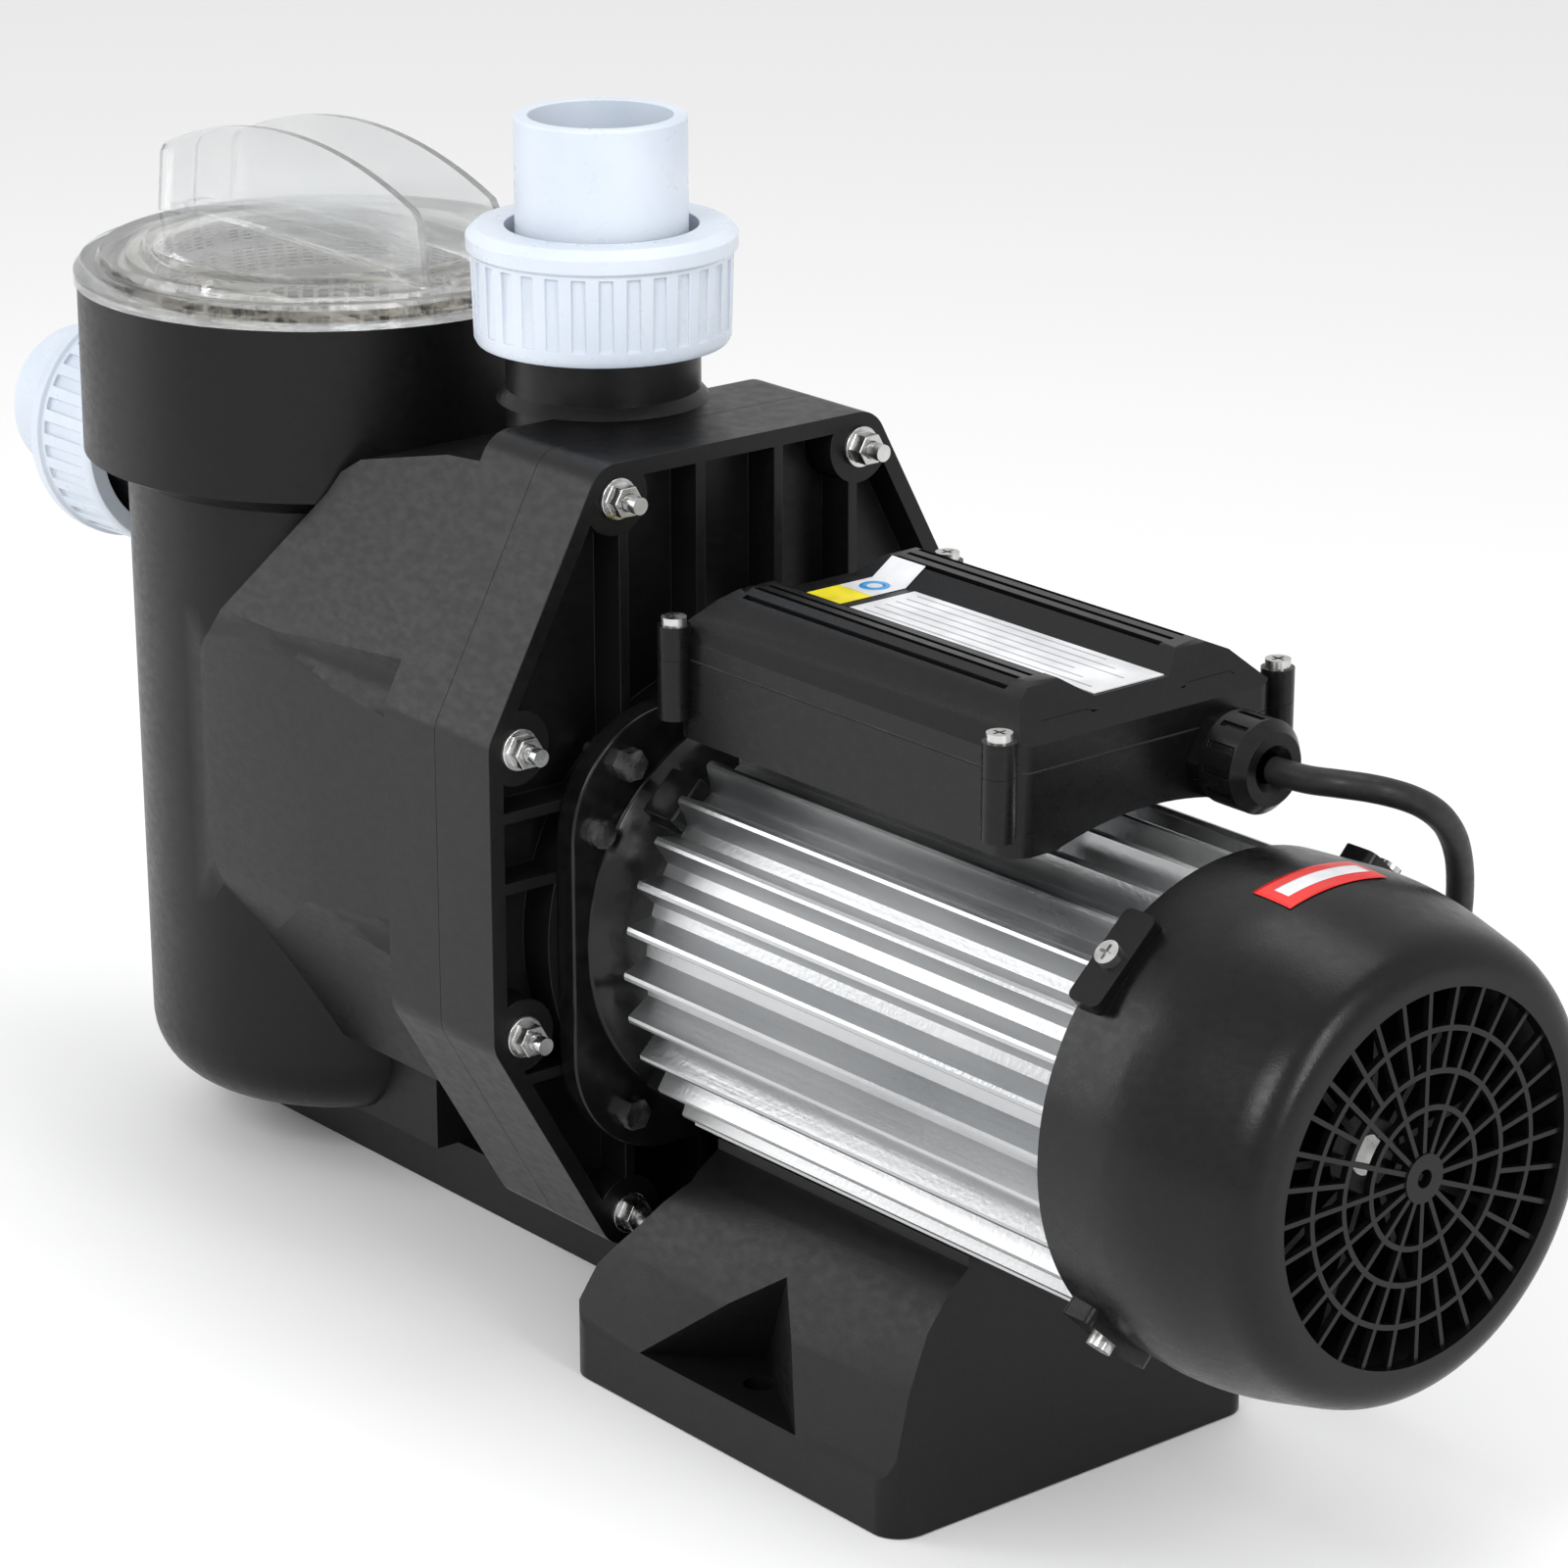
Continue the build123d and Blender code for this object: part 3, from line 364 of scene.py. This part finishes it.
def add_basket():
    """Tapered basket wall and floor with a fine square mesh between solid bands, and its rim."""
    low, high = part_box("strainer_basket")
    centre = ((low.x + high.x) / 2 / MM, 0, 0)
    floor_z, rim_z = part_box("basket_floor")[0].z / MM, high.z / MM
    rim_r = (high.x - low.x) / 2 / MM
    top_r = rim_r - BASKET_RIM_LIP
    wall_z = floor_z + BASKET_FLOOR_THICK
    wall_h = rim_z - 2 - floor_z - BASKET_FLOOR_THICK
    flare = top_r - BASKET_LOW_R
    profile = [(BASKET_LOW_R + flare * i / BASKET_LEVELS, wall_z + wall_h * i / BASKET_LEVELS)
               for i in range(BASKET_LEVELS + 1)]
    bm = bmesh.new()
    faces = grid_faces(bm, turned_rows(profile, centre, BASKET_HOLES))
    meshed = [f for i, f in enumerate(faces)
              if (i // BASKET_HOLES) % BAND_EVERY not in (0, BAND_EVERY - 1)
              and (i % BASKET_HOLES) % RIB_EVERY != 0]
    disc = [(BASKET_LOW_R * (i + 1) / BASKET_FLOOR_RINGS, wall_z) for i in range(BASKET_FLOOR_RINGS)]
    floor_faces = grid_faces(bm, turned_rows(disc, centre, BASKET_HOLES))
    meshed += [f for i, f in enumerate(floor_faces) if 3 <= i // BASKET_HOLES < 10 and i % 6 != 0]
    bmesh.ops.remove_doubles(bm, verts=bm.verts, dist=1e-6)
    meshed = [f for f in meshed if f.is_valid]
    bmesh.ops.inset_individual(bm, faces=meshed, thickness=0.0011, depth=0)
    bmesh.ops.delete(bm, geom=meshed, context="FACES")
    basket = new_object("basket_mesh", bm, MATERIALS["basket_plastic"], "basket")
    thick = basket.modifiers.new("wall", "SOLIDIFY")
    thick.thickness = 0.0016
    thick.offset = 1
    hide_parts("strainer_basket", "basket_floor")
    bm = bmesh.new()
    rim_outline = [(top_r - 2, rim_z - 3.5), (top_r + 1, rim_z - 3.5), (top_r + 1, rim_z - 1.7),
                   (rim_r, rim_z - 1.7), (rim_r, rim_z), (top_r - 1, rim_z), (top_r - 2, rim_z - 1)]
    turned(bm, rim_outline, centre, 128)
    rim = new_object("basket_rim", bm, MATERIALS["basket_plastic"], "basket")
    bevel(rim, 0.0004)


# ---------------------------------------------------------------- power cord

# Length and radius in metres; the route and the coil in millimetres.
CORD_R = 0.0045
CORD_ROUTE = [
    (138.5, 31, 252.5), (150, 31, 252.5), (163, 34, 253.8), (173.3, 42.5, 252.7), (178.5, 55, 247.5),
    (178, 67.5, 238.5), (174, 78.5, 225.5), (168.5, 86.5, 208), (161.5, 92, 186), (152.5, 97, 164),
    (140.5, 101, 136), (126, 105, 108), (108, 109, 80), (86, 113, 53), (60, 117, 29), (28, 121.5, 11),
    (-8, 125, 4.9), (-45, 127, 4.8), (-88, 126.1, 4.9), (-130, 126.5, 4.7),
]
LEAD_ROUTE = [(-170, 126.5, 13.7), (-186, 127, 12.6), (-203, 126.2, 9.8), (-220, 127, 8.6)]
COIL_CENTRE = (-150.0, 185.0)
COIL_PITCH = 9.0
COIL_INNER_R = 40.5
COIL_STEPS = 16
COIL_LAYER_TURNS = 2.5
LOWER_LAYER_Z = 4.7
LAYER_RISE = 8.9


def coil_points():
    """Two flat layers: inwards over two and a half turns, then outwards on top."""
    points = []
    for i in range(1, int(2 * COIL_LAYER_TURNS * COIL_STEPS)):
        turns = i / COIL_STEPS
        angle = math.radians(270) - 2 * math.pi * turns
        from_middle = abs(turns - COIL_LAYER_TURNS)
        radius = COIL_INNER_R + COIL_PITCH * 0.8 * from_middle
        climb = min(1.0, max(0.0, (turns - COIL_LAYER_TURNS + 0.4) / 0.8))
        x = COIL_CENTRE[0] + radius * math.cos(angle)
        y = COIL_CENTRE[1] + radius * math.sin(angle)
        points.append((x, y, LOWER_LAYER_Z + LAYER_RISE * climb))
    return points


def add_cord():
    """The whole mains cord on one smooth curve, from the gland to the plug."""
    route = CORD_ROUTE + coil_points() + LEAD_ROUTE
    curve = bpy.data.curves.new("mains_cord", "CURVE")
    curve.dimensions = "3D"
    spline = curve.splines.new("NURBS")
    spline.points.add(len(route) - 1)
    for point, place in zip(spline.points, route):
        point.co = (*(c * MM for c in place), 1)
    spline.order_u = 3
    spline.use_endpoint_u = True
    spline.resolution_u = 8
    curve.bevel_depth = CORD_R
    curve.bevel_resolution = 6
    curve.use_fill_caps = True
    curve.materials.append(MATERIALS["cord_rubber"])
    cord = bpy.data.objects.new("mains_cord", curve)
    bpy.context.scene.collection.objects.link(cord)
    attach(cord, "pump")
    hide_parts("power_cord", "cord_coil")


# ---------------------------------------------------------------- labels

# The fan cover's outer surface, in millimetres.
SHAFT_Z = 155
COVER_START_X = 155.2
COVER_DOME_X = 184.0
COVER_START_R = 82.2
COVER_TAPER = 1.8
DOME_END_R = 63.5
DOME_RISE = 20.5


def patch(name, corners, mat):
    """Thin printed film over four corners, in millimetres."""
    bm = bmesh.new()
    bm.faces.new([bm.verts.new(Vector(c) * MM) for c in corners])
    obj = new_object(name, bm, mat, "pump", smooth=False)
    thick = obj.modifiers.new("film", "SOLIDIFY")
    thick.thickness = 0.00012
    thick.offset = 1


def cover_radius(x):
    """Outside radius of the fan cover at x, in millimetres."""
    if x <= COVER_DOME_X:
        return COVER_START_R + COVER_TAPER * (x - COVER_START_X) / (COVER_DOME_X - COVER_START_X)
    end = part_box("fan_cover")[1].x / MM
    return DOME_END_R + DOME_RISE * math.cos(math.asin((x - COVER_DOME_X) / (end - COVER_DOME_X)))


def cover_patch(name, x0, x1, a0, a1, lift, mat):
    """Printed film on the fan cover, from x0 to x1 in millimetres and a0 to a1 in degrees."""
    bm = bmesh.new()
    columns, rows = 12, 24
    grid = []
    for i in range(columns + 1):
        x = x0 + (x1 - x0) * i / columns
        r = cover_radius(x) + lift
        column = []
        for j in range(rows + 1):
            angle = math.radians(a0 + (a1 - a0) * j / rows)
            place = Vector((x, r * math.cos(angle), SHAFT_Z + r * math.sin(angle)))
            column.append(bm.verts.new(place * MM))
        grid.append(column)
    for i in range(columns):
        for j in range(rows):
            bm.faces.new((grid[i][j], grid[i + 1][j], grid[i + 1][j + 1], grid[i][j + 1]))
    obj = new_object(name, bm, mat, "pump")
    thick = obj.modifiers.new("film", "SOLIDIFY")
    thick.thickness = 0.0001
    thick.offset = 0


def add_labels():
    """Coloured stickers and a ruled plate, with no lettering."""
    red = plain_with_grain("label_red", (0.72, 0.015, 0.01), 0.35)
    white = MATERIALS["label"]
    yellow = plain_with_grain("label_yellow", (0.85, 0.72, 0.01), 0.35)
    blue = plain_with_grain("label_blue", (0.03, 0.32, 0.72), 0.35)
    cover_patch("cover_label", 183, 199, 76, 105, 0.25, red)
    cover_patch("cover_label_stripe", 188, 194, 78, 102, 0.4, white)
    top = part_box("rating_plate")[1].z / MM + 0.1
    low = top - 0.45
    slope = low + 5.9
    left, right = -37, -20
    patch("sticker_yellow",
          [(left, -15.8, low), (right, -15.8, low), (right, 1, low), (left, 1, low)], yellow)
    patch("sticker_white",
          [(left, 1.2, low), (right, 1.2, low), (right, 15.8, low), (left, 15.8, low)], white)
    patch("sticker_slope",
          [(left, 15.8, low), (right, 15.8, low), (right, 24.5, slope), (left, 24.5, slope)], white)
    ring = bmesh.new()
    ring_outline = [(2.8, low + 0.1), (5.2, low + 0.1), (5.2, low + 0.22), (2.8, low + 0.22)]
    turned(ring, ring_outline, (-28.5, 9.5, 0), 40)
    new_object("sticker_ring", ring, blue, "pump")
    plate_low, plate_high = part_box("rating_plate")
    x0 = plate_low.x / MM + 5
    x1 = plate_high.x / MM - 5
    grey = plain_with_grain("label_grey", (0.45, 0.46, 0.48), 0.4)
    z = top - 0.05
    for i in range(6):
        y = -11.5 + 4.6 * i
        end = x1 - 9 * (i % 3)
        patch(f"plate_line_{i}", [(x0, y, z), (end, y, z), (end, y + 0.5, z), (x0, y + 0.5, z)], grey)


def add_lid_ends():
    """Solid ends inside the humps of the terminal lid, just under its sloping ends."""
    low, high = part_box("terminal_lid")
    for x_end, inwards in ((low.x / MM + 0.9, 1), (high.x / MM - 1.5, -1)):
        for side in (-1, 1):
            outline = [(4.2, 274.1), (9, 278.3), (9, 272), (4.2, 272)]
            rows = [[Vector((x_end + inwards * x, side * y, z)) * MM for x, z in outline] for y in (20, 41.5)]
            bm = bmesh.new()
            grid_faces(bm, rows)
            verts = list(bm.verts)
            bm.faces.new(verts[:4])
            bm.faces.new(verts[4:])
            bmesh.ops.recalc_face_normals(bm, faces=bm.faces)
            name = f"lid_end_{'front' if inwards > 0 else 'rear'}_{'near' if side < 0 else 'far'}"
            new_object(name, bm, MATERIALS["box_plastic"], "pump", smooth=False)


EDGE_RADII = {
    "pump_body": 1.6, "seal_plate": 1.4, "base_foot": 2.0, "terminal_box": 0.8, "terminal_lid": 0.8,
    "adapter_flange": 1.0, "gland_nut": 0.4, "outlet_nut": 0.5, "inlet_nut": 0.5, "outlet_tail": 0.4,
    "inlet_tail": 0.4, "fan_cover": 0.3, "plug_body": 0.6, "flange_nuts": 0.3, "clear_lid": 0.5,
}


def round_cad_edges():
    """Small moulded radii on the CAD pieces that show."""
    for node, radius in EDGE_RADII.items():
        bevel(NODES[node], radius * MM)


dress_nodes()
round_cad_edges()
add_camera()
add_stage()
add_basket()
add_cord()
add_labels()
add_lid_ends()
